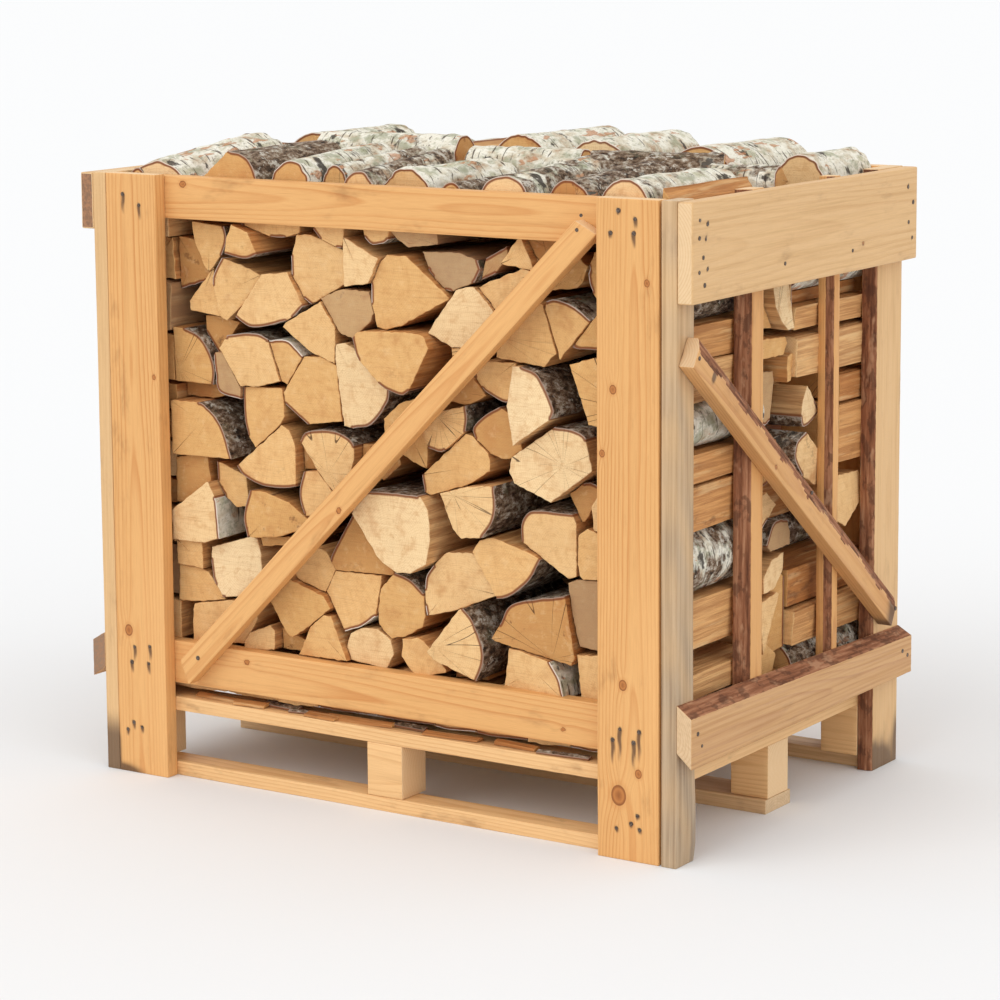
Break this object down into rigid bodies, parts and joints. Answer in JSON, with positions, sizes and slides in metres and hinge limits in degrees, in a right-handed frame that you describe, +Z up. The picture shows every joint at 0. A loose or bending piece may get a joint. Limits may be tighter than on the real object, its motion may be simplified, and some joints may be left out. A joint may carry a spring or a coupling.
{
  "type": "firewood crate filled with split birch",
  "caption": "Slatted softwood crate on an integral block pallet, stacked full of split birch firewood billets in two rows.",
  "frame": {"origin": "centre of the footprint, on the floor", "axes": "+Z up, -Y towards the front with the billets' sawn ends, X along the long side"},
  "size_m": [1.1, 0.705, 1.008],
  "materials": {
    "planed_pine": "planed",
    "sawn_pine": "rough sawn",
    "waney_pine": "rough sawn with bark edges",
    "pallet_pine": "rough sawn",
    "split_birch": "sawn ends, split faces and bark"
  },
  "bodies": {
    "root": {"back_bottom_rail": "planed_pine", "back_brace": "planed_pine", "back_right_board": "planed_pine", "back_row_billets": "split_birch", "back_top_rail": "planed_pine", "back_left_board": "planed_pine", "crosswise_billets": "split_birch", "deck_board_back": "pallet_pine", "deck_board_front": "pallet_pine", "deck_slat_1": "pallet_pine", "deck_slat_2": "pallet_pine", "deck_slat_3": "pallet_pine", "deck_slat_4": "pallet_pine", "deck_stringer_centre": "pallet_pine", "deck_stringer_left": "pallet_pine", "deck_stringer_right": "pallet_pine", "front_bottom_rail": "planed_pine", "front_brace": "planed_pine", "front_right_board": "planed_pine", "front_row_billets": "split_birch", "front_top_rail": "planed_pine", "front_left_board": "planed_pine", "left_bottom_board": "waney_pine", "left_brace": "waney_pine", "left_narrow_post": "sawn_pine", "left_stake_1": "waney_pine", "left_stake_2": "waney_pine", "left_top_board": "sawn_pine", "left_wide_post": "sawn_pine", "pallet_block_back_centre": "pallet_pine", "pallet_block_back_left": "pallet_pine", "pallet_block_back_right": "pallet_pine", "pallet_block_front_centre": "pallet_pine", "pallet_block_front_left": "pallet_pine", "pallet_block_front_right": "pallet_pine", "pallet_block_middle_centre": "pallet_pine", "pallet_block_middle_left": "pallet_pine", "pallet_block_middle_right": "pallet_pine", "pallet_runner_back": "pallet_pine", "pallet_runner_front": "pallet_pine", "pallet_runner_middle": "pallet_pine", "right_bottom_board": "waney_pine", "right_brace": "waney_pine", "right_narrow_post": "sawn_pine", "right_stake_1": "waney_pine", "right_stake_2": "waney_pine", "right_top_board": "sawn_pine", "right_wide_post": "sawn_pine", "top_billet_back_1": "split_birch", "top_billet_back_2": "split_birch", "top_billet_back_3": "split_birch", "top_billet_back_4": "split_birch", "top_billet_cross": "split_birch", "top_billet_front_1": "split_birch", "top_billet_front_2": "split_birch", "top_billet_front_3": "split_birch", "top_billet_front_4": "split_birch", "top_billet_front_5": "split_birch", "top_billet_front_6": "split_birch", "top_billet_front_7": "split_birch"}
  },
  "joints": []
}
